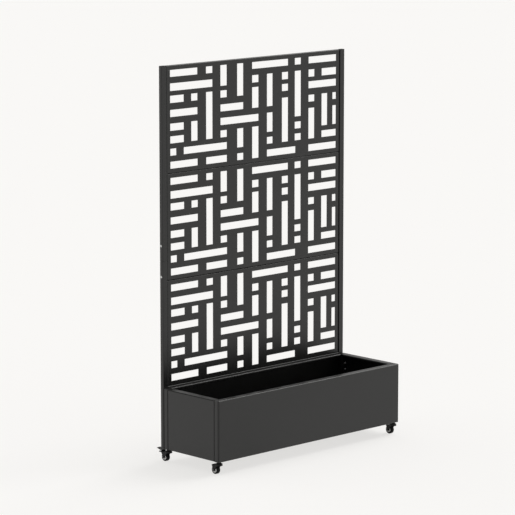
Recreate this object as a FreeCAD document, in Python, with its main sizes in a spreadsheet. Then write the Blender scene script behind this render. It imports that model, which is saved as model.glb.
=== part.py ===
import FreeCAD, Part
import Sketcher
import math
import os

# Planter room divider: a steel planter box on four casters with a slotted screen behind it.
# Millimetres, +Z up, +Y to the back, origin on the floor under the middle of the whole footprint.

SIZES = {
    # Whole object, over the posts and without the brake pedals
    "overall_width": 1200,
    "overall_depth": 400,
    "overall_height": 1860,
    # Planter box
    "caster_height": 60,
    "box_height": 290,
    "sheet": 1.5,
    "bend_inside": 2.5,
    "rim_width": 35,
    "rear_rim_width": 18,
    "rim_lip": 9,
    "front_return": 4.5,
    "front_seam": 3,
    "side_recess": 0.5,
    "side_lip": 20,
    "rim_seam": 1,
    "rear_setback": 10,
    "leg_width": 35,
    "leg_depth": 25,
    "leg_wall": 1.5,
    "leg_corner": 4,
    # Planter floor
    "crossbar_width": 20,
    "crossbar_height": 10,
    "crossbar_wall": 1.2,
    "tray_gap": 0.9,
    "drain_diameter": 12,
    # Screen
    "post_width": 30,
    "post_depth": 20,
    "post_wall": 1.5,
    "post_corner": 3,
    "splice_height": 951,
    "splice_seam": 0.6,
    "splice_round": 1.2,
    "splice_length": 200,
    "splice_wall": 1.5,
    "splice_bolt_pitch": 146,
    "slide_gap": 0.2,
    "cap_thickness": 2,
    "cap_plug_length": 12,
    "screen_recess": 3,
    "screen_sheet": 1.5,
    "screen_gap": 2,
    "screen_seam": 0.6,
    "rail_height": 20,
    "rail_rise": 6,
    "rail_corner": 3.5,
    # Fasteners
    "bolt_diameter": 6,
    "bolt_head_diameter": 11,
    "bolt_head_height": 3.5,
    "bolt_drop": 45,
    "bolt_pitch": 30,
    "splice_head_height": 2,
    "nut_diameter": 9,
    "nut_length": 8,
    "collar": 1.5,
    "collar_diameter": 12,
    "screw_diameter": 4,
    "screw_head_diameter": 8,
    "screw_head_height": 2.5,
    "screw_length": 9,
    "hole_gap": 0.25,
    "thread_gap": 0.05,
    # Casters
    "wheel_diameter": 40,
    "tyre_width": 20,
    "tyre_round": 4,
    "hub_diameter": 26,
    "hub_rim_thickness": 4,
    "hub_web_thickness": 12,
    "hub_boss_diameter": 11,
    "wheel_trail": 20,
    "wheel_clearance": 2.5,
    "fork_plate": 2.5,
    "fork_gap": 1.5,
    "fork_boss": 5.5,
    "crown_diameter": 34,
    "crown_back": 35,
    "swivel_gap": 0.3,
    "swivel_head_diameter": 33,
    "swivel_head_height": 6,
    "swivel_taper": 3,
    "swivel_neck_diameter": 20,
    "kingpin_diameter": 8,
    "rivet_diameter": 14,
    "rivet_height": 2,
    "stem_length": 22,
    "foot_plug_length": 20,
    "axle_diameter": 6,
    "axle_head_diameter": 9,
    "axle_head_height": 2.5,
    "running_gap": 0.05,
    # Brake pedals of the rear casters
    "brake_slot_back": 30,
    "brake_pivot_back": 40,
    "brake_pivot_height": 49.5,
    "brake_ear": 4.5,
    "brake_pin_diameter": 4,
    "brake_pin_head_diameter": 7,
    "brake_pin_head_height": 1.2,
    "pedal_length": 31,
    "pedal_width": 20,
    # How far every cutting shape runs past the piece it cuts
    "overrun": 10,
}

# The slots of one screen panel: each letter is one slot, over the columns and rows it spans
SLOT_MAP = (
    "AAABCDEEE.FGGG",
    "HHHHCDIJK.LMNN",
    "OOPQRDSJT.LUUU",
    "VVVQWWSJX.LYZa",
    "bbcQdddeX.LfZg",
    "hhcQijkeX.lfZg",
    "mnnnnjkoX.pfqq",
    "rrrsstkuuu.vvv",
)
# Left and right edges of the slot columns as shares of the panel's width
COLUMN_SHARES = (
    (0.020, 0.053), (0.094, 0.095), (0.136, 0.171), (0.219, 0.255), (0.300, 0.336),
    (0.395, 0.430), (0.481, 0.518), (0.567, 0.600), (0.655, 0.691), (0.722, 0.735),
    (0.731, 0.767), (0.813, 0.848), (0.892, 0.926), (0.958, 0.979),
)
# Upper and lower edges of the slot rows as shares of the panel's height, from its top
ROW_SHARES = (
    (0.042, 0.106), (0.166, 0.236), (0.280, 0.347), (0.411, 0.477),
    (0.538, 0.605), (0.656, 0.722), (0.771, 0.836), (0.892, 0.957),
)
PANEL_LEVELS = ("bottom", "middle", "top")
SCREW_HEIGHT_SHARES = (0.12, 0.5, 0.88)
CROSSBAR_SHARES = (-0.38, -0.13, 0.13, 0.38)
DRAIN_WIDTH_SHARES = (-0.26, 0.0, 0.26)
DRAIN_DEPTH_SHARES = (0.25, 0.75)
# Outline of a brake pedal about its pin, as shares of the pedal's length
PEDAL_OUTLINE_SHARES = (
    (-0.15, 0.12), (0.15, 0.14), (0.97, 0.29), (1.00, 0.21), (0.30, 0.0),
    (0.54, -0.25), (0.50, -0.36), (0.15, -0.30), (-0.15, -0.47), (-0.17, -0.05),
)

X_AXIS = FreeCAD.Vector(1, 0, 0)
Y_AXIS = FreeCAD.Vector(0, 1, 0)
Z_AXIS = FreeCAD.Vector(0, 0, 1)
SIDES = {"left": -1, "right": 1}

doc = FreeCAD.newDocument("planter_room_divider")
sheet = doc.addObject("Spreadsheet::Sheet", "sizes")
for row, (name, number) in enumerate(SIZES.items(), start=1):
    sheet.set(f"A{row}", name)
    sheet.set(f"B{row}", str(number))
    sheet.setAlias(f"B{row}", name)
doc.recompute()


class Size:
    """A length with the formula over the sheet's cells that it comes from."""

    def __init__(self, formula, value):
        self.formula = formula
        self.value = value

    def __add__(self, other):
        other = as_size(other)
        return Size(f"({self.formula} + {other.formula})", self.value + other.value)

    def __sub__(self, other):
        other = as_size(other)
        return Size(f"({self.formula} - {other.formula})", self.value - other.value)

    def __mul__(self, share):
        return Size(f"({self.formula} * {share})", self.value * share)

    def __truediv__(self, count):
        return Size(f"({self.formula} / {count})", self.value / count)

    def __neg__(self):
        return self * -1

    def __rmul__(self, share):
        return self * share


def as_size(number):
    return number if isinstance(number, Size) else Size(str(number), number)


class Sheet:
    """The sheet's cells by name."""

    def __getattr__(self, name):
        return Size(f"sizes.{name}", sheet.get(name))


s = Sheet()
ZERO = as_size(0)

# Places that several pieces share
half_width = s.overall_width / 2
leg_back = s.sheet + s.leg_depth / 2
pedal_reach = s.brake_pivot_back + s.pedal_length - s.post_depth - s.collar - leg_back
front = -(s.overall_depth + pedal_reach) / 2
back = front + s.overall_depth
post_face = back - s.post_depth
rear = post_face - s.collar
floor = s.caster_height
rim = floor + s.box_height
rail_top = rim + s.rail_rise
bend = s.bend_inside + s.sheet
front_leg_face = front + s.front_return + s.front_seam
front_leg = (front_leg_face, front_leg_face + s.leg_depth)
rear_leg = (rear - s.sheet - s.leg_depth, rear - s.sheet)
side_ends = (front_leg[1] + s.collar, rear_leg[0] - s.collar)
post_centre = half_width - s.post_width / 2
post_middle = post_face + s.post_depth / 2
leg_centre = half_width - s.leg_width / 2
tray_bottom = floor + s.sheet + s.crossbar_height
panel_width = s.overall_width - 2 * (s.post_width + s.screen_gap)
panel_pitch = (s.overall_height - rail_top) / len(PANEL_LEVELS)
panel_height = panel_pitch - s.screen_seam
post_bore = (s.post_width - 2 * s.post_wall, s.post_depth - 2 * s.post_wall)
leg_bore = (s.leg_width - 2 * s.leg_wall, s.leg_depth - 2 * s.leg_wall)
axle_height = s.wheel_diameter / 2
crown_bottom = s.wheel_diameter + s.wheel_clearance
crown_top = crown_bottom + s.fork_plate
slot_width = s.tyre_width + 2 * s.fork_gap
fork_width = slot_width + 2 * s.fork_plate
bolt_heights = (
    rim - s.bolt_drop, rim - s.bolt_drop - s.bolt_pitch,
    floor + s.bolt_drop + s.bolt_pitch, floor + s.bolt_drop,
)

pieces = []


def keep(piece):
    """Register a finished piece under its label."""
    pieces.append(piece)
    return piece


def bind(item, **sizes):
    for cell, size in sizes.items():
        item.setExpression(cell, as_size(size).formula)


def place(item, x, y, z):
    for axis, size in zip("xyz", (x, y, z)):
        item.setExpression(f"Placement.Base.{axis}", as_size(size).formula)


def reach(side, near, far):
    """The span from near to far, counted outwards from the middle plane on one side."""
    return (near, far) if side > 0 else (-far, -near)


def around(centre, width):
    return (centre - width / 2, centre + width / 2)


def fill_box(box, x, y, z):
    bind(box, Length=x[1] - x[0], Width=y[1] - y[0], Height=z[1] - z[0])
    place(box, x[0], y[0], z[0])
    return box


def block(name, x, y, z):
    """A plain box between the two ends of each span."""
    return fill_box(doc.addObject("Part::Box", name), x, y, z)


def rod(name, start, direction, diameter, length):
    """A round bar from its start along a direction."""
    bar = doc.addObject("Part::Cylinder", name)
    bar.Placement.Rotation = FreeCAD.Rotation(Z_AXIS, direction)
    bind(bar, Radius=diameter / 2, Height=length)
    place(bar, *start)
    return bar


def join(name, solids):
    whole = doc.addObject("Part::MultiFuse", name)
    whole.Shapes = solids
    return whole


def group(name, solids):
    together = doc.addObject("Part::Compound", name)
    together.Links = solids
    return together


def cut(name, base, tools):
    result = doc.addObject("Part::Cut", name)
    result.Base = base
    result.Tool = group(f"{name}_cuts", tools)
    return result


def new_body(name):
    return doc.addObject("PartDesign::Body", name)


def add_block(body, x, y, z):
    return fill_box(body.newObject("PartDesign::AdditiveBox", f"{body.Name}_block"), x, y, z)


def cut_block(body, x, y, z):
    return fill_box(body.newObject("PartDesign::SubtractiveBox", f"{body.Name}_hollow"), x, y, z)


def bar_in_body(body, kind, start, direction, diameter, length):
    """A round bar added to a body, or a round bore cut from it."""
    bar = body.newObject(f"PartDesign::{kind}Cylinder", f"{body.Name}_round")
    bar.Placement.Rotation = FreeCAD.Rotation(Z_AXIS, direction)
    bind(bar, Radius=diameter / 2, Height=length)
    place(bar, *start)
    return bar


def round_edges(body, radius, wanted):
    """Round the edges of the body's last feature that are wanted."""
    doc.recompute()
    last = body.Tip
    edges = enumerate(last.Shape.Edges, start=1)
    fillet = body.newObject("PartDesign::Fillet", f"{body.Name}_bend")
    fillet.Base = (last, [f"Edge{number}" for number, edge in edges if wanted(edge)])
    bind(fillet, Radius=radius)


def at_plane(axis, size):
    """A test for edges in the plane square to an axis at the given place."""
    def wanted(edge):
        return all(
            math.isclose(end.Point.dot(axis), size.value, abs_tol=s.running_gap.value) for end in edge.Vertexes
        )
    return wanted


def at_corner(first_axis, first, second_axis, second):
    """A test for the edges where two planes meet."""
    in_first = at_plane(first_axis, first)
    in_second = at_plane(second_axis, second)

    def wanted(edge):
        return in_first(edge) and in_second(edge)
    return wanted


def parallel_to(axis):
    """A test for straight edges along an axis."""
    def wanted(edge):
        return math.isclose(abs(edge.Curve.Direction.dot(axis)), 1)
    return wanted


def of_radius(size):
    """A test for round edges of the given radius."""
    def wanted(edge):
        return math.isclose(getattr(edge.Curve, "Radius", 0), size.value)
    return wanted


def outline(body, name, role, corners):
    """A closed outline through the corners on one of the body's own planes."""
    sketch = body.newObject("Sketcher::SketchObject", name)
    plane = next(item for item in body.Origin.OriginFeatures if item.Role == role)
    sketch.AttachmentSupport = [(plane, "")]
    sketch.MapMode = "FlatFace"
    corners = [(as_size(u), as_size(v)) for u, v in corners]
    spots = [FreeCAD.Vector(u.value, v.value, 0) for u, v in corners]
    count = len(spots)
    sketch.addGeometry([Part.LineSegment(spots[i], spots[(i + 1) % count]) for i in range(count)])
    for i, corner in enumerate(corners):
        sketch.addConstraint(Sketcher.Constraint("Coincident", i, 2, (i + 1) % count, 1))
        for kind, size in zip(("DistanceX", "DistanceY"), corner):
            number = sketch.addConstraint(Sketcher.Constraint(kind, -1, 1, i, 1, size.value))
            sketch.setExpression(f"Constraints[{number}]", size.formula)
    return sketch


def turned(name, role, axis, corners):
    """A piece turned about an axis of its outline's plane."""
    body = new_body(name)
    sketch = outline(body, f"{name}_outline", role, corners)
    turn = body.newObject("PartDesign::Revolution", f"{name}_turn")
    turn.Profile = sketch
    turn.ReferenceAxis = (sketch, [axis])
    turn.Angle = 360
    return body


def padded(name, role, corners, width):
    """A piece as thick as its width on an outline."""
    body = new_body(name)
    sketch = outline(body, f"{name}_outline", role, corners)
    pad = body.newObject("PartDesign::Pad", f"{name}_pad")
    pad.Profile = sketch
    bind(pad, Length=width)
    return body


def tube(name, x, y, z, axis, wall, corner, eased_end=None):
    """A rectangular tube with rounded long edges and, where asked, an eased end."""
    body = new_body(name)
    add_block(body, x, y, z)
    round_edges(body, corner, parallel_to(axis))
    if eased_end:
        round_edges(body, s.splice_round, at_plane(axis, eased_end))
    spans = []
    for span, direction in ((x, X_AXIS), (y, Y_AXIS), (z, Z_AXIS)):
        margin = -s.overrun if direction == axis else wall
        spans.append((span[0] + margin, span[1] - margin))
    cut_block(body, *spans)
    return body


def fastener(name, seat, direction, head, shank):
    """A bolt or screw: head and shank are each a diameter and a length from the seat."""
    return join(name, [
        rod(f"{name}_head", seat, -direction, *head),
        rod(f"{name}_shank", seat, direction, *shank),
    ])


def ring_nut(name, start, direction):
    """A round threaded insert on a bolt."""
    bore = rod(f"{name}_bore", start, direction, s.bolt_diameter + 2 * s.thread_gap, s.nut_length)
    body = rod(f"{name}_body", start, direction, s.nut_diameter, s.nut_length)
    return cut(name, body, [bore])


def collar(name, start, direction):
    """A spacing ring round a bolt."""
    bore = rod(f"{name}_bore", start, direction, s.bolt_diameter + 2 * s.hole_gap, s.collar)
    body = rod(f"{name}_body", start, direction, s.collar_diameter, s.collar)
    return cut(name, body, [bore])


def shank_hole(name, seat, direction, shank):
    diameter, length = shank
    return rod(name, seat, direction, diameter + 2 * s.hole_gap, length)


# Fasteners and the holes that they pass through
bolt_head = (s.bolt_head_diameter, s.bolt_head_height)
splice_head = (s.bolt_head_diameter, s.splice_head_height)
screw_head = (s.screw_head_diameter, s.screw_head_height)
post_shank = (s.bolt_diameter, 2 * (s.sheet + s.collar) + s.leg_depth + s.post_wall + s.nut_length)
side_shank = (s.bolt_diameter, s.sheet + s.collar + s.leg_wall + s.nut_length)
splice_shank = (s.bolt_diameter, s.post_wall + s.slide_gap + s.splice_wall + s.nut_length)
screw_shank = (s.screw_diameter, s.screw_length)
post_bolts = []
post_nuts = []
side_screws = []
side_nuts = []
splice_bolts = []
splice_nuts = []
screen_screws = []
holes = {}
screw_depth = post_face + (s.screen_recess + s.screen_sheet + s.post_depth) / 2
screw_seat = panel_width / 2 - s.screen_sheet
panel_floors = [rail_top + panel_pitch * level for level in range(len(PANEL_LEVELS))]

for side_name, side in SIDES.items():
    inwards = X_AXIS * -side
    outwards = X_AXIS * side
    bolt_x = post_centre * side
    post_holes = []
    front_holes = []
    for number, height in enumerate(bolt_heights, start=1):
        tag = f"{side_name}_{number}"
        seat = (bolt_x, side_ends[1] - s.sheet, height)
        post_bolts.append(fastener(f"post_bolt_{tag}", seat, Y_AXIS, bolt_head, post_shank))
        post_nuts.append(ring_nut(f"post_nut_{tag}", (bolt_x, post_face + s.post_wall, height), Y_AXIS))
        post_nuts.append(collar(f"leg_collar_{tag}", (bolt_x, side_ends[1], height), Y_AXIS))
        post_nuts.append(collar(f"post_collar_{tag}", (bolt_x, rear, height), Y_AXIS))
        post_holes.append(shank_hole(f"post_hole_{tag}", seat, Y_AXIS, post_shank))
        seat = (bolt_x, side_ends[0] + s.sheet, height)
        nut_start = (bolt_x, front_leg[1] - s.leg_wall, height)
        side_screws.append(fastener(f"side_screw_{tag}", seat, -Y_AXIS, bolt_head, side_shank))
        side_nuts.append(ring_nut(f"side_nut_{tag}", nut_start, -Y_AXIS))
        side_nuts.append(collar(f"side_collar_{tag}", (bolt_x, side_ends[0], height), -Y_AXIS))
        front_holes.append(shank_hole(f"front_hole_{tag}", seat, -Y_AXIS, side_shank))
    splice_holes = []
    for number, height in enumerate(around(s.splice_height, s.splice_bolt_pitch), start=1):
        tag = f"{side_name}_{number}"
        seat = (half_width * side, post_middle, height)
        nut_start = ((half_width - s.post_wall - s.slide_gap - s.splice_wall) * side, post_middle, height)
        splice_bolts.append(fastener(f"splice_bolt_{tag}", seat, inwards, splice_head, splice_shank))
        splice_nuts.append(ring_nut(f"splice_nut_{tag}", nut_start, inwards))
        splice_holes.append(shank_hole(f"splice_hole_{tag}", seat, inwards, splice_shank))
    screw_holes = []
    for level, panel_floor in enumerate(panel_floors, start=1):
        for number, share in enumerate(SCREW_HEIGHT_SHARES, start=1):
            tag = f"{side_name}_{level}_{number}"
            seat = (screw_seat * side, screw_depth, panel_floor + panel_height * share)
            screen_screws.append(fastener(f"screen_screw_{tag}", seat, outwards, screw_head, screw_shank))
            screw_holes.append(shank_hole(f"screw_hole_{tag}", seat, outwards, screw_shank))
    holes[side_name] = {
        "post": post_holes, "front": front_holes, "splice": splice_holes, "screw": screw_holes,
    }

for name, solids in (
    ("post_bolts", post_bolts), ("post_nuts", post_nuts),
    ("side_panel_screws", side_screws), ("side_panel_nuts", side_nuts),
    ("splice_bolts", splice_bolts), ("splice_nuts", splice_nuts), ("screen_screws", screen_screws),
):
    keep(group(name, solids))


def front_panel():
    """Shallow pan with a wide rim folded back and down, and a lip for the crossbars at its foot."""
    body = new_body("front_panel")
    rim_edge = front + s.rim_width
    add_block(body, (-half_width, half_width), (front, rim_edge), (floor, rim))
    round_edges(body, bend, at_plane(Y_AXIS, front))
    round_edges(body, bend, at_corner(Y_AXIS, rim_edge, Z_AXIS, rim))
    behind = rim_edge + s.overrun
    inside = half_width - s.sheet
    outside = half_width + s.overrun
    below = floor - s.overrun
    under_rim = rim - s.sheet
    cut_block(body, (-inside, inside), (front + s.sheet, rim_edge - s.sheet), (floor + s.sheet, under_rim))
    round_edges(body, s.bend_inside, at_plane(Y_AXIS, front + s.sheet))
    round_edges(body, s.bend_inside, at_corner(Y_AXIS, rim_edge - s.sheet, Z_AXIS, under_rim))
    cut_block(body, (-outside, outside), (front + s.side_lip, behind), (below, rim - s.rim_lip))
    lip_end = half_width - s.leg_width - s.tray_gap
    for side in SIDES.values():
        cut_block(body, reach(side, lip_end, outside), (front + s.front_return, behind), (below, under_rim))
    return body


def rear_panel():
    """Sheet behind the rear legs, with a narrow folded rim and a lip for the crossbars."""
    body = new_body("rear_panel_sheet")
    edge = half_width - s.rear_setback
    rim_edge = rear - s.rear_rim_width
    add_block(body, (-edge, edge), (rear - s.side_lip, rear), (floor, rim))
    before = rear - s.side_lip - s.overrun
    outside = half_width + s.overrun
    above_lip = floor + s.sheet
    cut_block(body, (-outside, outside), (before, rim_edge), (above_lip, rim + s.overrun))
    round_edges(body, bend, at_corner(Y_AXIS, rim_edge, Z_AXIS, rim))
    cut_block(body, (-outside, outside), (rim_edge + s.sheet, rear - s.sheet), (above_lip, rim - s.sheet))
    round_edges(body, s.bend_inside, at_corner(Y_AXIS, rim_edge + s.sheet, Z_AXIS, rim - s.sheet))
    cut_block(body, (-outside, outside), (before, rear - s.sheet), (above_lip, rim - s.rim_lip))
    lip_end = half_width - s.leg_width - s.tray_gap
    for side in SIDES.values():
        rim_end = reach(side, half_width - s.rim_width - s.rim_seam, outside)
        cut_block(body, rim_end, (before, rear - s.sheet), (above_lip, rim + s.overrun))
        lip = reach(side, lip_end, outside)
        cut_block(body, lip, (before, rear - s.sheet), (floor - s.overrun, above_lip))
    return cut("rear_panel", body, holes["left"]["post"] + holes["right"]["post"])


def side_panel(side_name, side):
    """Pan between two legs, its lips turned into the box."""
    body = new_body(f"{side_name}_side_pan")
    face = half_width - s.side_recess
    lip = face - s.side_lip
    top = rim - s.sheet - s.rim_seam
    add_block(body, reach(side, lip, face), side_ends, (floor, top))
    round_edges(body, bend, at_plane(X_AXIS, face * side))
    inside = (side_ends[0] + s.sheet, side_ends[1] - s.sheet)
    hollow = reach(side, lip - s.overrun, face - s.sheet)
    cut_block(body, hollow, inside, (floor + s.sheet, top - s.sheet))
    round_edges(body, s.bend_inside, at_plane(X_AXIS, (face - s.sheet) * side))
    side_holes = holes[side_name]
    return cut(f"{side_name}_side_panel", body, side_holes["post"] + side_holes["front"])


def side_rim(side_name, side):
    """Strip over a side panel and the rear leg, folded down along the opening."""
    body = new_body(f"{side_name}_side_rim")
    inner = half_width - s.rim_width
    outside = half_width + s.overrun
    along = (front + s.rim_width + s.rim_seam, rear - s.sheet)
    below = rim - s.rim_lip - s.overrun
    add_block(body, reach(side, inner, half_width), along, (rim - s.rim_lip, rim))
    round_edges(body, bend, at_corner(X_AXIS, inner * side, Z_AXIS, rim))
    under = (along[0] - s.overrun, along[1] + s.overrun)
    cut_block(body, reach(side, inner + s.sheet, outside), under, (below, rim - s.sheet))
    round_edges(body, s.bend_inside, at_corner(X_AXIS, (inner + s.sheet) * side, Z_AXIS, rim - s.sheet))
    lip_end = rear_leg[0] - s.sheet - s.tray_gap
    cut_block(body, reach(side, inner - s.overrun, outside), (lip_end, under[1]), (below, rim - s.sheet))
    return body


def legs(side_name, side):
    across = reach(side, half_width - s.leg_width, half_width)
    upright = (floor, rim - s.sheet)
    for end, along, bolts in (("front", front_leg, "front"), ("rear", rear_leg, "post")):
        name = f"{end}_{side_name}_leg"
        body = tube(f"{name}_tube", across, along, upright, Z_AXIS, s.leg_wall, s.leg_corner)
        keep(cut(name, body, holes[side_name][bolts]))


def floor_tray():
    """Flat floor, notched round the legs, with drain holes."""
    edge = half_width - s.side_recess - s.sheet - s.tray_gap
    ends = (front + s.sheet + s.tray_gap, rear - s.sheet - s.tray_gap)
    plate = block("floor_plate", (-edge, edge), ends, (tray_bottom, tray_bottom + s.sheet))
    through = (tray_bottom - s.overrun, tray_bottom + s.sheet + s.overrun)
    notch_in = half_width - s.leg_width - s.tray_gap
    notch_front = (front, side_ends[0] + s.sheet + s.tray_gap)
    notch_rear = (side_ends[1] - s.sheet - s.tray_gap, rear)
    tools = []
    for side_name, side in SIDES.items():
        across = reach(side, notch_in, half_width)
        tools.append(block(f"front_{side_name}_notch", across, notch_front, through))
        tools.append(block(f"rear_{side_name}_notch", across, notch_rear, through))
    length = through[1] - through[0]
    for column, across in enumerate(DRAIN_WIDTH_SHARES, start=1):
        for line, along in enumerate(DRAIN_DEPTH_SHARES, start=1):
            start = (s.overall_width * across, front + (rear - front) * along, through[0])
            tools.append(rod(f"drain_{column}_{line}", start, Z_AXIS, s.drain_diameter, length))
    return cut("floor_tray", plate, tools)


def floor_crossbars():
    """Tubes from front to rear that carry the floor."""
    bars = []
    along = (front + bend, rear - s.sheet)
    low = floor + s.sheet
    for number, share in enumerate(CROSSBAR_SHARES, start=1):
        centre = s.overall_width * share
        outer = block(f"crossbar_{number}_outer", around(centre, s.crossbar_width), along, (low, tray_bottom))
        bore = block(
            f"crossbar_{number}_bore",
            around(centre, s.crossbar_width - 2 * s.crossbar_wall),
            (along[0] - s.overrun, along[1] + s.overrun),
            (low + s.crossbar_wall, tray_bottom - s.crossbar_wall),
        )
        bars.append(cut(f"crossbar_{number}", outer, [bore]))
    return group("floor_crossbars", bars)


def posts(side_name, side):
    """Two lengths of tube on an inner sleeve."""
    across = reach(side, half_width - s.post_width, half_width)
    along = (post_face, back)
    side_holes = holes[side_name]
    joint = s.splice_height + s.splice_seam
    top = s.overall_height - s.cap_thickness
    upper_holes = side_holes["splice"] + side_holes["screw"]
    for part, upright, eased, drilled in (
        ("lower", (floor + s.cap_thickness, s.splice_height), s.splice_height, upper_holes + side_holes["post"]),
        ("upper", (joint, top), joint, upper_holes),
    ):
        name = f"{side_name}_post_{part}"
        body = tube(f"{name}_tube", across, along, upright, Z_AXIS, s.post_wall, s.post_corner, eased)
        keep(cut(name, body, drilled))
    name = f"{side_name}_splice_sleeve"
    body = new_body(f"{name}_tube")
    sleeve = [bore - 2 * s.slide_gap for bore in post_bore]
    upright = around(s.splice_height, s.splice_length)
    add_block(body, around(post_centre * side, sleeve[0]), around(post_middle, sleeve[1]), upright)
    bores = [
        around(centre, width - 2 * s.splice_wall)
        for centre, width in zip((post_centre * side, post_middle), sleeve)
    ]
    cut_block(body, *bores, (upright[0] - s.overrun, upright[1] + s.overrun))
    keep(cut(name, body, upper_holes))


def post_caps():
    """A flat cap with a plug in each open end of the posts."""
    caps = []
    plug = [bore - 2 * s.slide_gap for bore in post_bore]
    top = s.overall_height
    bottom = floor
    for side_name, side in SIDES.items():
        centre = post_centre * side
        for end, plate, pin in (
            ("top", (top - s.cap_thickness, top),
             (top - s.cap_thickness - s.cap_plug_length, top - s.cap_thickness)),
            ("bottom", (bottom, bottom + s.cap_thickness),
             (bottom + s.cap_thickness, bottom + s.cap_thickness + s.cap_plug_length)),
        ):
            name = f"{side_name}_{end}_cap"
            body = new_body(f"{name}_plate")
            add_block(body, around(centre, s.post_width), (post_face, back), plate)
            round_edges(body, s.post_corner, parallel_to(Z_AXIS))
            peg = block(f"{name}_plug", around(centre, plug[0]), around(post_middle, plug[1]), pin)
            caps.append(join(name, [body, peg]))
    return group("post_caps", caps)


def slot_blocks():
    """One cutting block for each letter of the slot map, from the panel's lower left corner."""
    through = (post_face, post_face + s.screen_recess + s.screen_sheet + s.overrun)
    half = panel_width / 2
    letters = sorted(set("".join(SLOT_MAP)) - {"."})
    blocks = []
    for number, letter in enumerate(letters, start=1):
        rows = [row for row, line in enumerate(SLOT_MAP) if letter in line]
        columns = [column for column, mark in enumerate(SLOT_MAP[rows[0]]) if mark == letter]
        left = COLUMN_SHARES[columns[0]][0]
        right = COLUMN_SHARES[columns[-1]][1]
        upper = ROW_SHARES[rows[0]][0]
        lower = ROW_SHARES[rows[-1]][1]
        across = (panel_width * left - half, panel_width * right - half)
        upright = (panel_height * (1 - lower), panel_height * (1 - upper))
        blocks.append(block(f"slot_{number}", across, through, upright))
    return blocks


def screen_panels():
    """Three equal pans between the posts, with the slots cut through their faces."""
    body = new_body("screen_pan")
    half = panel_width / 2
    face = post_face + s.screen_recess
    add_block(body, (-half, half), (face, back), (ZERO, panel_height))
    round_edges(body, s.bend_inside + s.screen_sheet, at_plane(Y_AXIS, face))
    wall = s.screen_sheet
    inside = half - wall
    cut_block(body, (-inside, inside), (face + wall, back + s.overrun), (wall, panel_height - wall))
    round_edges(body, s.bend_inside, at_plane(Y_AXIS, face + wall))
    tools = slot_blocks()
    for side_name, side in SIDES.items():
        for number, share in enumerate(SCREW_HEIGHT_SHARES, start=1):
            seat = (screw_seat * side, screw_depth, panel_height * share)
            tools.append(shank_hole(f"pan_hole_{side_name}_{number}", seat, X_AXIS * side, screw_shank))
    for level, panel_floor in zip(PANEL_LEVELS, panel_floors):
        panel = cut(f"screen_panel_{level}", body, tools)
        place(panel, ZERO, ZERO, panel_floor)
        keep(panel)


def bottom_rail():
    inner = half_width - s.post_width
    upright = (rail_top - s.rail_height, rail_top)
    across = (-inner, inner)
    return tube("bottom_rail", across, (post_face, back), upright, X_AXIS, s.post_wall, s.rail_corner)


def foot_plugs(stems):
    """A plug in the foot of each leg, bored for the caster's stem."""
    plugs = []
    plug = [bore - 2 * s.slide_gap for bore in leg_bore]
    stem_bore = s.kingpin_diameter + 2 * s.thread_gap
    upright = (floor, floor + s.foot_plug_length)
    for name, (x, y) in stems.items():
        solid = block(f"{name}_plug_block", around(x, plug[0]), around(y, plug[1]), upright)
        hole = rod(f"{name}_plug_bore", (x, y, floor), Z_AXIS, stem_bore, s.foot_plug_length)
        plugs.append(cut(f"{name}_plug", solid, [hole]))
    return group("leg_foot_plugs", plugs)


def caster_stem(name):
    """Rivet, kingpin, swivel head and stem in one turned piece."""
    pin = s.kingpin_diameter / 2
    rivet = s.rivet_diameter / 2
    head = s.swivel_head_diameter / 2
    neck = s.swivel_neck_diameter / 2
    rivet_top = crown_bottom - s.swivel_gap
    head_bottom = crown_top + s.swivel_gap
    head_top = head_bottom + s.swivel_head_height
    stem_top = floor + s.stem_length
    return turned(name, "XZ_Plane", "V_Axis", [
        (ZERO, rivet_top - s.rivet_height), (rivet, rivet_top - s.rivet_height), (rivet, rivet_top),
        (pin, rivet_top), (pin, head_bottom), (head, head_bottom), (head, head_top),
        (neck, head_top + s.swivel_taper), (neck, floor), (pin, floor), (pin, stem_top), (ZERO, stem_top),
    ])


def caster_fork(name, braked):
    """Yoke with a flat crown, two arms and, on a braked caster, two ears for the pedal's pin."""
    trail = s.wheel_trail
    boss = s.fork_boss
    ears = []
    if braked:
        ears = [
            (s.brake_pivot_back, s.brake_pivot_height + s.brake_ear),
            (s.brake_pivot_back, s.brake_pivot_height - s.brake_ear),
        ]
    corners = [(ZERO, crown_top), (s.crown_back, crown_top)] + ears + [
        (trail + boss, axle_height), (trail - boss, axle_height), (ZERO, crown_bottom),
    ]
    middle = fork_width / 2
    body = padded(name, "YZ_Plane", corners, fork_width)
    bar_in_body(body, "Additive", (middle, ZERO, crown_bottom), Z_AXIS, s.crown_diameter, s.fork_plate)
    bar_in_body(body, "Additive", (ZERO, trail, axle_height), X_AXIS, 2 * boss, fork_width)
    slot = around(middle, slot_width)
    far = s.brake_pivot_back + s.brake_ear + s.overrun
    if braked:
        pivot = (ZERO, s.brake_pivot_back, s.brake_pivot_height)
        bar_in_body(body, "Additive", pivot, X_AXIS, 2 * s.brake_ear, fork_width)
        cut_block(body, slot, (s.brake_slot_back, far), (ZERO, crown_top + s.overrun))
    cut_block(body, slot, (-middle, far), (ZERO, crown_bottom))
    bores = [(trail, axle_height, s.axle_diameter)]
    if braked:
        bores.append((s.brake_pivot_back, s.brake_pivot_height, s.brake_pin_diameter))
    for y, z, diameter in bores:
        bar_in_body(body, "Subtractive", (ZERO, y, z), X_AXIS, diameter + 2 * s.running_gap, fork_width)
    kingpin = s.kingpin_diameter + 2 * s.running_gap
    bar_in_body(body, "Subtractive", (middle, ZERO, crown_bottom), Z_AXIS, kingpin, s.fork_plate)
    return body


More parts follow.
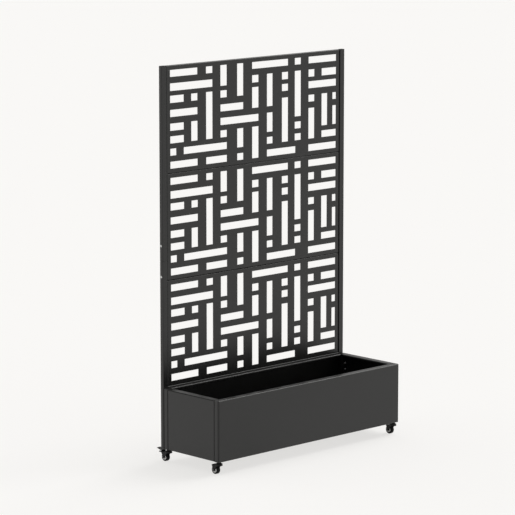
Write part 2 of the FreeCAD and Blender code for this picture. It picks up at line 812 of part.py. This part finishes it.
def headed_pin(name, shank, head, length, head_height):
    """A pin with a head on each end, along X from its middle."""
    half = length / 2
    end = half + head_height
    return turned(name, "XY_Plane", "H_Axis", [
        (-end, ZERO), (-end, head / 2), (-half, head / 2), (-half, shank / 2),
        (half, shank / 2), (half, head / 2), (end, head / 2), (end, ZERO),
    ])


def caster_tyre(name):
    half = s.tyre_width / 2
    inner = s.hub_diameter / 2
    outer = s.wheel_diameter / 2
    body = turned(name, "XY_Plane", "H_Axis", [(-half, inner), (half, inner), (half, outer), (-half, outer)])
    round_edges(body, s.tyre_round, of_radius(outer))
    return body


def caster_hub(name):
    """Hub with a rim, a thinner web and a boss that runs on the axle."""
    rim_half = s.tyre_width / 2
    web_half = s.hub_web_thickness / 2
    boss_half = slot_width / 2 - s.swivel_gap
    bore = s.axle_diameter / 2 + s.running_gap
    boss = s.hub_boss_diameter / 2
    outer = s.hub_diameter / 2
    inner = outer - s.hub_rim_thickness
    half_outline = [
        (boss_half, bore), (boss_half, boss), (web_half, boss), (web_half, inner),
        (rim_half, inner), (rim_half, outer),
    ]
    mirrored = [(-x, radius) for x, radius in reversed(half_outline)]
    return turned(name, "XY_Plane", "H_Axis", half_outline + mirrored)


def brake_pedal(name):
    """Two-lobed pedal on its pin: tread on the long lobe to lock, lift the short one to free."""
    corners = [(s.pedal_length * y, s.pedal_length * z) for y, z in PEDAL_OUTLINE_SHARES]
    body = padded(name, "YZ_Plane", corners, s.pedal_width)
    bore = s.brake_pin_diameter + 2 * s.running_gap
    bar_in_body(body, "Subtractive", (ZERO, ZERO, ZERO), X_AXIS, bore, s.pedal_width)
    return body


def caster(corner, x, y, braked):
    """All the pieces of one caster, its wheel trailing to the back."""
    axle_y = y + s.wheel_trail
    stem = keep(caster_stem(f"{corner}_caster_stem"))
    place(stem, x, y, ZERO)
    fork = keep(caster_fork(f"{corner}_caster_fork", braked))
    place(fork, x - fork_width / 2, y, ZERO)
    axle = (s.axle_diameter, s.axle_head_diameter, fork_width, s.axle_head_height)
    for piece in (
        headed_pin(f"{corner}_caster_axle", *axle),
        caster_tyre(f"{corner}_caster_tyre"),
        caster_hub(f"{corner}_caster_hub"),
    ):
        place(keep(piece), x, axle_y, axle_height)
    if braked:
        pivot_y = y + s.brake_pivot_back
        pin = (s.brake_pin_diameter, s.brake_pin_head_diameter, fork_width, s.brake_pin_head_height)
        place(keep(headed_pin(f"{corner}_brake_pin", *pin)), x, pivot_y, s.brake_pivot_height)
        pedal = keep(brake_pedal(f"{corner}_brake_pedal"))
        place(pedal, x - s.pedal_width / 2, pivot_y, s.brake_pivot_height)


keep(front_panel())
keep(rear_panel())
keep(floor_tray())
keep(floor_crossbars())
keep(bottom_rail())
keep(post_caps())
screen_panels()
stems = {}
for side_name, side in SIDES.items():
    keep(side_panel(side_name, side))
    keep(side_rim(side_name, side))
    legs(side_name, side)
    posts(side_name, side)
    stems[f"front_{side_name}"] = (leg_centre * side, front_leg[0] + s.leg_depth / 2)
    stems[f"rear_{side_name}"] = (leg_centre * side, rear_leg[0] + s.leg_depth / 2)
keep(foot_plugs(stems))
for corner, (x, y) in stems.items():
    caster(corner, x, y, braked=corner.startswith("rear"))

doc.recompute()
for item in doc.Objects:
    if "Invalid" in item.State or "Error" in item.State:
        raise RuntimeError(f"{item.Label} failed: {item.State}")
for piece in pieces:
    if piece.Shape.isNull() or not piece.Shape.isValid():
        raise RuntimeError(f"{piece.Label} has no valid shape")

os.makedirs("parts", exist_ok=True)
for piece in pieces:
    piece.Shape.exportStep(f"parts/{piece.Label}.step")
print(f"{len(pieces)} pieces written")
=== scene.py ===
import bmesh
import bpy
import math
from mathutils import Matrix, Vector


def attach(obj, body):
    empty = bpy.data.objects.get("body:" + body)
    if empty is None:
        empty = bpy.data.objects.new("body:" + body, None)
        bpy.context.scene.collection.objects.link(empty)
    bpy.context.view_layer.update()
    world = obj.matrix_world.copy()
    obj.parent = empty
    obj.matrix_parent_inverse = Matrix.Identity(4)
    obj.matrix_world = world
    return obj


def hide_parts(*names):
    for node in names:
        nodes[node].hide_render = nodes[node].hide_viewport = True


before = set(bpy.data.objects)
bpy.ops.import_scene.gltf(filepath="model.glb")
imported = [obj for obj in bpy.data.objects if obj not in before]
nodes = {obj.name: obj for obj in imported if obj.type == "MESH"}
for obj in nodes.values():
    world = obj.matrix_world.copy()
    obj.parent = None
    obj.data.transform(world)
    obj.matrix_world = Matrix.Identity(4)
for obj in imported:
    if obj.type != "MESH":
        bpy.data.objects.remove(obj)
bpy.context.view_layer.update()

# Camera of the photograph, in metres and degrees, with its lens and film in millimetres
CAMERA_PLACE = Vector((-9.144, -9.3374, 3.1564))
CAMERA_AZIMUTH = -43.94
CAMERA_ELEVATION = 9.71
CAMERA_LENS = 195.45
CAMERA_FILM = 36.0
CAMERA_REACH = 400.0

# Light of the studio's air, one being the plain level, and how it falls off towards the photographer
AIR_COLOUR = (1.0, 0.995, 0.98)
AIR_LEVEL = 0.95
PHOTOGRAPHER = (-0.69, -0.72, 0.0)
PHOTOGRAPHER_EDGE = (0.5, 0.95)
PHOTOGRAPHER_LEVEL = 0.15
# Patches of more or less light: the way to each, the cosines where its soft edge begins and ends, and its level
AIR_PATCHES = {
    "dim ceiling": ((0.0, 0.0, 1.0), (0.3, 0.7), -0.5),
    "right softbox": ((0.69, -0.05, 0.72), (0.91, 0.97), 4.5),
    "rear softbox": ((0.4, 0.6, 0.69), (0.75, 0.9), 0.5),
    "dim back wall": ((0.69, 0.72, 0.1), (0.6, 0.9), -0.7),
}

# Paper on the floor, in metres, and the share of it that glows
FLOOR_SIZE = 240.0
FLOOR_COLOUR = (0.9, 0.896, 0.89)
FLOOR_ROUGHNESS = 0.95
GLOW_COLOUR = (1.0, 0.989, 0.971)
GLOW_SHARE = 0.7

# Nodes by finish
POWDER_COATED = (
    "front_panel", "rear_panel", "left_side_panel", "right_side_panel", "left_side_rim", "right_side_rim",
    "floor_tray", "floor_crossbars", "front_left_leg", "front_right_leg", "rear_left_leg", "rear_right_leg",
    "left_post_lower", "left_post_upper", "right_post_lower", "right_post_upper",
    "left_splice_sleeve", "right_splice_sleeve",
    "screen_panel_top", "screen_panel_middle", "screen_panel_bottom", "bottom_rail",
)
PLUGS = ("leg_foot_plugs", "post_caps")
NUTS = ("side_panel_nuts", "splice_nuts", "post_nuts")
CORNERS = ("front_left", "front_right", "rear_left", "rear_right")
BRAKED = ("rear_left", "rear_right")

# Head height and shank radius of each kind of bolt in metres, and the way its head looks from its middle
BOLTS = {
    "splice_bolts": (0.002, 0.003, lambda middle: (math.copysign(1.0, middle.x), 0.0, 0.0)),
    "screen_screws": (0.0025, 0.002, lambda middle: (-math.copysign(1.0, middle.x), 0.0, 0.0)),
    "post_bolts": (0.0035, 0.003, lambda middle: (0.0, -1.0, 0.0)),
    "side_panel_screws": (0.0035, 0.003, lambda middle: (0.0, 1.0, 0.0)),
}
# Rounding of a bolt's head, as shares of its radius and height
HEAD_CURVE = ((1.0, 0.25), (0.9, 0.62), (0.72, 0.88))
HEAD_STEPS = 24
HEAD_SHARP_ANGLE = math.radians(35)
# Socket in the head: its radius and floor as shares of the head's, and its lip as a share of its own radius
SOCKET_RADIUS = 0.42
SOCKET_FLOOR = 0.35
SOCKET_LIP = 1.2
SOCKET_SIDE_ANGLE = math.tau / 6
# How near corners are to count as one, in metres, in the CAD meshes and in a spun bolt
CAD_CORNER = 1e-6
SPUN_CORNER = 1e-7
SOCKET_CORNER_SHARE = 1e-3

GREY_WARMTH = 0.96


class Finish:
    """A material with its shader and the texture nodes that feed it."""

    def __init__(self, name, specular=0.5, metallic=0.0):
        self.material = bpy.data.materials.new(name)
        self.material.use_nodes = True
        self.tree = self.material.node_tree
        self.shader = self.tree.nodes["Principled BSDF"]
        self.shader.inputs["Metallic"].default_value = metallic
        self.shader.inputs["Specular IOR Level"].default_value = specular
        self.place = self.add("ShaderNodeTexCoord").outputs["Object"]

    def add(self, kind, **settings):
        node = self.tree.nodes.new(kind)
        for name, value in settings.items():
            setattr(node, name, value)
        return node

    def link(self, source, target):
        self.tree.links.new(source, target)

    def noise(self, scale, detail, stretch=(1.0, 1.0, 1.0)):
        """Cloudy noise over the piece, from nought to one."""
        mapping = self.add("ShaderNodeMapping")
        mapping.inputs["Scale"].default_value = stretch
        self.link(self.place, mapping.inputs["Vector"])
        texture = self.add("ShaderNodeTexNoise")
        texture.inputs["Scale"].default_value = scale
        texture.inputs["Detail"].default_value = detail
        self.link(mapping.outputs["Vector"], texture.inputs["Vector"])
        return texture.outputs["Fac"]

    def ramp(self, factor, *stops):
        """Colours at places along a factor."""
        ramp = self.add("ShaderNodeValToRGB")
        for element, (place, colour) in zip(ramp.color_ramp.elements, stops):
            element.position = place
            element.color = (*colour, 1.0)
        self.link(factor, ramp.inputs["Fac"])
        return ramp.outputs["Color"]

    def multiply(self, amount, first, second):
        mix = self.add("ShaderNodeMix", data_type="RGBA", blend_type="MULTIPLY")
        mix.inputs["Factor"].default_value = amount
        self.link(first, mix.inputs["A"])
        self.link(second, mix.inputs["B"])
        return mix.outputs["Result"]

    def colour(self, source):
        self.link(source, self.shader.inputs["Base Color"])

    def even_roughness(self, level):
        self.shader.inputs["Roughness"].default_value = level

    def cloudy_roughness(self, factor, low, high):
        spread = self.add("ShaderNodeMapRange")
        spread.inputs["To Min"].default_value = low
        spread.inputs["To Max"].default_value = high
        self.link(factor, spread.inputs["Value"])
        self.link(spread.outputs["Result"], self.shader.inputs["Roughness"])

    def bump(self, height, strength, depth):
        bump = self.add("ShaderNodeBump")
        bump.inputs["Strength"].default_value = strength
        bump.inputs["Distance"].default_value = depth
        self.link(height, bump.inputs["Height"])
        self.link(bump.outputs["Normal"], self.shader.inputs["Normal"])


def grey(level):
    """A grey that leans a little to the warm side."""
    return (level, level, level * GREY_WARMTH)


def powder_coat():
    """Satin dark-grey powder coat with the fine orange peel of the baked film."""
    coat = Finish("satin_powder_coat")
    clouds = coat.ramp(coat.noise(scale=2.2, detail=3.0), (0.3, grey(0.0065)), (0.7, grey(0.0085)))
    grains = coat.ramp(coat.noise(scale=900.0, detail=1.0), (0.35, grey(0.75)), (0.65, grey(1.0)))
    coat.colour(coat.multiply(0.5, clouds, grains))
    coat.cloudy_roughness(coat.noise(scale=5.0, detail=4.0), low=0.28, high=0.36)
    coat.bump(coat.noise(scale=420.0, detail=2.0), strength=0.12, depth=0.0003)
    return coat.material


def moulded_plastic():
    """Black moulded plastic with a fine spark-eroded grain."""
    plastic = Finish("black_moulded_plastic", specular=0.4)
    plastic.colour(plastic.ramp(plastic.noise(scale=60.0, detail=3.0), (0.3, grey(0.006)), (0.7, grey(0.010))))
    plastic.even_roughness(0.55)
    plastic.bump(plastic.noise(scale=1500.0, detail=2.0), strength=0.2, depth=0.0002)
    return plastic.material


def zinc_plate():
    """Bright zinc plate, a little cloudy, with fine turning marks."""
    zinc = Finish("bright_zinc_plate", metallic=1.0)
    clouds = zinc.noise(scale=350.0, detail=3.0)
    zinc.colour(zinc.ramp(clouds, (0.3, (0.62, 0.63, 0.64)), (0.7, (0.80, 0.80, 0.78))))
    zinc.cloudy_roughness(zinc.noise(scale=500.0, detail=3.0), low=0.4, high=0.6)
    zinc.bump(zinc.noise(scale=2500.0, detail=1.0, stretch=(1.0, 1.0, 0.1)), strength=0.08, depth=0.0001)
    return zinc.material


def caster_enamel():
    """Black enamel on pressed steel, worn a little dull."""
    enamel = Finish("black_caster_enamel", specular=0.22)
    enamel.colour(enamel.ramp(enamel.noise(scale=45.0, detail=4.0), (0.3, grey(0.003)), (0.7, grey(0.007))))
    enamel.cloudy_roughness(enamel.noise(scale=90.0, detail=4.0), low=0.28, high=0.45)
    enamel.bump(enamel.noise(scale=700.0, detail=2.0), strength=0.1, depth=0.0002)
    return enamel.material


def tyre_rubber():
    """Black rubber, dusty in places, with moulding grain."""
    rubber = Finish("black_tyre_rubber", specular=0.15)
    rubber.colour(rubber.ramp(rubber.noise(scale=70.0, detail=4.0), (0.3, grey(0.004)), (0.75, grey(0.010))))
    rubber.cloudy_roughness(rubber.noise(scale=120.0, detail=3.0), low=0.6, high=0.8)
    rubber.bump(rubber.noise(scale=1100.0, detail=2.0), strength=0.25, depth=0.0003)
    return rubber.material


def hub_nylon():
    """Off-white nylon wheel centre."""
    nylon = Finish("white_hub_nylon", specular=0.45)
    clouds = nylon.noise(scale=80.0, detail=3.0)
    nylon.colour(nylon.ramp(clouds, (0.3, (0.78, 0.78, 0.77)), (0.7, (0.84, 0.84, 0.83))))
    nylon.even_roughness(0.45)
    nylon.bump(nylon.noise(scale=900.0, detail=2.0), strength=0.1, depth=0.0002)
    return nylon.material


def bolt_boxes(node):
    """Lowest and highest corner of each bolt of a node, in a fixed order."""
    bolts = bmesh.new()
    bolts.from_mesh(nodes[node].data)
    bmesh.ops.remove_doubles(bolts, verts=bolts.verts[:], dist=CAD_CORNER)
    waiting = set(bolts.verts)
    boxes = []
    while waiting:
        found = [waiting.pop()]
        for corner in found:
            linked = {edge.other_vert(corner) for edge in corner.link_edges} & waiting
            waiting -= linked
            found.extend(linked)
        low, high = ([pick(corner.co[axis] for corner in found) for axis in range(3)] for pick in (min, max))
        boxes.append((low, high))
    bolts.free()
    return [(Vector(low), Vector(high)) for low, high in sorted(boxes)]


def socket_bolt(bolts, box, head_height, shank_radius, head_side):
    """A button head with a hexagon socket, spun round the bolt's axis, on a plain shank."""
    low, high = box
    towards = Vector(head_side((low + high) / 2))
    size = high - low
    length = abs(size.dot(towards))
    head = size.z / 2
    socket = head * SOCKET_RADIUS
    crown = length - head_height
    socket_floor = crown + head_height * SOCKET_FLOOR
    profile = [(0.0, 0.0), (shank_radius, 0.0), (shank_radius, crown), (head, crown)]
    profile += [(head * across, crown + head_height * along) for across, along in HEAD_CURVE]
    profile += [(socket * SOCKET_LIP, length), (socket, length), (socket, socket_floor), (0.0, socket_floor)]
    centre = (0.0, 0.0, 0.0)
    corners = [bolts.verts.new((radius, 0.0, height)) for radius, height in profile]
    edges = [bolts.edges.new(pair) for pair in zip(corners, corners[1:])]
    bmesh.ops.spin(
        bolts, geom=corners + edges, cent=centre, axis=(0.0, 0.0, 1.0), angle=math.tau, steps=HEAD_STEPS,
        use_merge=True,
    )
    # Earlier bolts' corners are tagged, so the others are this bolt's
    fresh = [corner for corner in bolts.verts if not corner.tag]
    bmesh.ops.remove_doubles(bolts, verts=fresh, dist=SPUN_CORNER)
    fresh = [corner for corner in bolts.verts if not corner.tag]
    for corner in fresh:
        if math.isclose(corner.co.xy.length, socket, rel_tol=SOCKET_CORNER_SHARE):
            turn = math.atan2(corner.co.y, corner.co.x) % SOCKET_SIDE_ANGLE - SOCKET_SIDE_ANGLE / 2
            corner.co.xy *= math.cos(SOCKET_SIDE_ANGLE / 2) / math.cos(turn)
    foot = (low + high) / 2 - towards * (length / 2)
    bmesh.ops.rotate(bolts, verts=fresh, cent=centre, matrix=towards.to_track_quat("Z", "Y").to_matrix())
    bmesh.ops.translate(bolts, verts=fresh, vec=foot)
    for corner in fresh:
        corner.tag = True


def socket_bolts(node, head_height, shank_radius, head_side, material):
    """All bolts of a node in one piece that stands in for the CAD node."""
    bolts = bmesh.new()
    for box in bolt_boxes(node):
        socket_bolt(bolts, box, head_height, shank_radius, head_side)
    bmesh.ops.recalc_face_normals(bolts, faces=bolts.faces[:])
    mesh = bpy.data.meshes.new(f"{node}_dressed")
    bolts.to_mesh(mesh)
    bolts.free()
    mesh.shade_smooth()
    mesh.set_sharp_from_angle(angle=HEAD_SHARP_ANGLE)
    mesh.materials.append(material)
    piece = bpy.data.objects.new(f"{node}_dressed", mesh)
    bpy.context.scene.collection.objects.link(piece)
    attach(piece, "divider")
    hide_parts(node)


def dress(material, names):
    """Give CAD nodes their material."""
    for name in names:
        slots = nodes[name].data.materials
        slots.clear()
        slots.append(material)


def studio_air():
    """Even white light from all round, dimmer on the photographer's side, with the patches added to it."""
    world = bpy.data.worlds.new("studio_air")
    bpy.context.scene.world = world
    world.use_nodes = True
    tree = world.node_tree
    direction = tree.nodes.new("ShaderNodeTexCoord").outputs["Generated"]

    def shade(towards, edge, far_level, near_level):
        """A level that changes over a soft edge as a direction leans towards the given one."""
        lean = tree.nodes.new("ShaderNodeVectorMath")
        lean.operation = "DOT_PRODUCT"
        lean.inputs[1].default_value = towards
        tree.links.new(direction, lean.inputs[0])
        level = tree.nodes.new("ShaderNodeMapRange")
        level.interpolation_type = "SMOOTHSTEP"
        for name, value in zip(("From Min", "From Max", "To Min", "To Max"), (*edge, far_level, near_level)):
            level.inputs[name].default_value = value
        tree.links.new(lean.outputs["Value"], level.inputs["Value"])
        return level.outputs["Result"]

    total = shade(PHOTOGRAPHER, PHOTOGRAPHER_EDGE, AIR_LEVEL, PHOTOGRAPHER_LEVEL)
    for towards, edge, level in AIR_PATCHES.values():
        add = tree.nodes.new("ShaderNodeMath")
        tree.links.new(total, add.inputs[0])
        tree.links.new(shade(towards, edge, 0.0, level), add.inputs[1])
        total = add.outputs["Value"]
    background = tree.nodes["Background"]
    tree.links.new(total, background.inputs["Strength"])
    background.inputs["Color"].default_value = (*AIR_COLOUR, 1.0)


def studio_floor():
    """Pale paper that glows a little where it is looked at, so that the object's shadow on it stays light."""
    bpy.ops.mesh.primitive_plane_add(size=FLOOR_SIZE)
    floor = bpy.context.object
    floor.name = "studio_floor"
    paper = bpy.data.materials.new("pale_studio_floor")
    paper.use_nodes = True
    tree = paper.node_tree
    shader = tree.nodes["Principled BSDF"]
    shader.inputs["Base Color"].default_value = (*FLOOR_COLOUR, 1.0)
    shader.inputs["Roughness"].default_value = FLOOR_ROUGHNESS
    shader.inputs["Specular IOR Level"].default_value = 0.0
    glow = tree.nodes.new("ShaderNodeEmission")
    glow.inputs["Color"].default_value = (*GLOW_COLOUR, 1.0)
    rays = tree.nodes.new("ShaderNodeLightPath")
    seen = rays.outputs["Is Camera Ray"]
    for kind in ("Is Glossy Ray", "Is Transmission Ray"):
        either = tree.nodes.new("ShaderNodeMath")
        either.operation = "MAXIMUM"
        tree.links.new(seen, either.inputs[0])
        tree.links.new(rays.outputs[kind], either.inputs[1])
        seen = either.outputs["Value"]
    share = tree.nodes.new("ShaderNodeMath")
    share.operation = "MULTIPLY"
    share.inputs[1].default_value = GLOW_SHARE
    tree.links.new(seen, share.inputs[0])
    mix = tree.nodes.new("ShaderNodeMixShader")
    tree.links.new(share.outputs["Value"], mix.inputs["Fac"])
    tree.links.new(shader.outputs["BSDF"], mix.inputs[1])
    tree.links.new(glow.outputs["Emission"], mix.inputs[2])
    tree.links.new(mix.outputs["Shader"], tree.nodes["Material Output"].inputs["Surface"])
    floor.data.materials.append(paper)


def photograph_camera():
    """The camera, where the photograph was taken from."""
    camera = bpy.data.objects.new("camera", bpy.data.cameras.new("camera"))
    bpy.context.scene.collection.objects.link(camera)
    camera.location = CAMERA_PLACE
    camera.rotation_euler = (math.pi / 2 - math.radians(CAMERA_ELEVATION), 0.0, math.radians(CAMERA_AZIMUTH))
    camera.data.sensor_width = CAMERA_FILM
    camera.data.lens = CAMERA_LENS
    camera.data.clip_end = CAMERA_REACH
    bpy.context.scene.camera = camera


bpy.context.scene.view_settings.view_transform = "Standard"
photograph_camera()
studio_air()
studio_floor()
enamel = caster_enamel()
zinc = zinc_plate()
dress(powder_coat(), POWDER_COATED)
dress(moulded_plastic(), PLUGS)
dress(zinc, NUTS)
for node, (head_height, shank_radius, head_side) in BOLTS.items():
    socket_bolts(node, head_height, shank_radius, head_side, zinc)
dress(tyre_rubber(), [f"{corner}_caster_tyre" for corner in CORNERS])
dress(hub_nylon(), [f"{corner}_caster_hub" for corner in CORNERS])
dress(zinc, [f"{corner}_brake_pin" for corner in BRAKED])
dress(enamel, [f"{corner}_caster_{piece}" for corner in CORNERS for piece in ("stem", "fork", "axle")])
dress(enamel, [f"{corner}_brake_pedal" for corner in BRAKED])

bpy.context.view_layer.update()
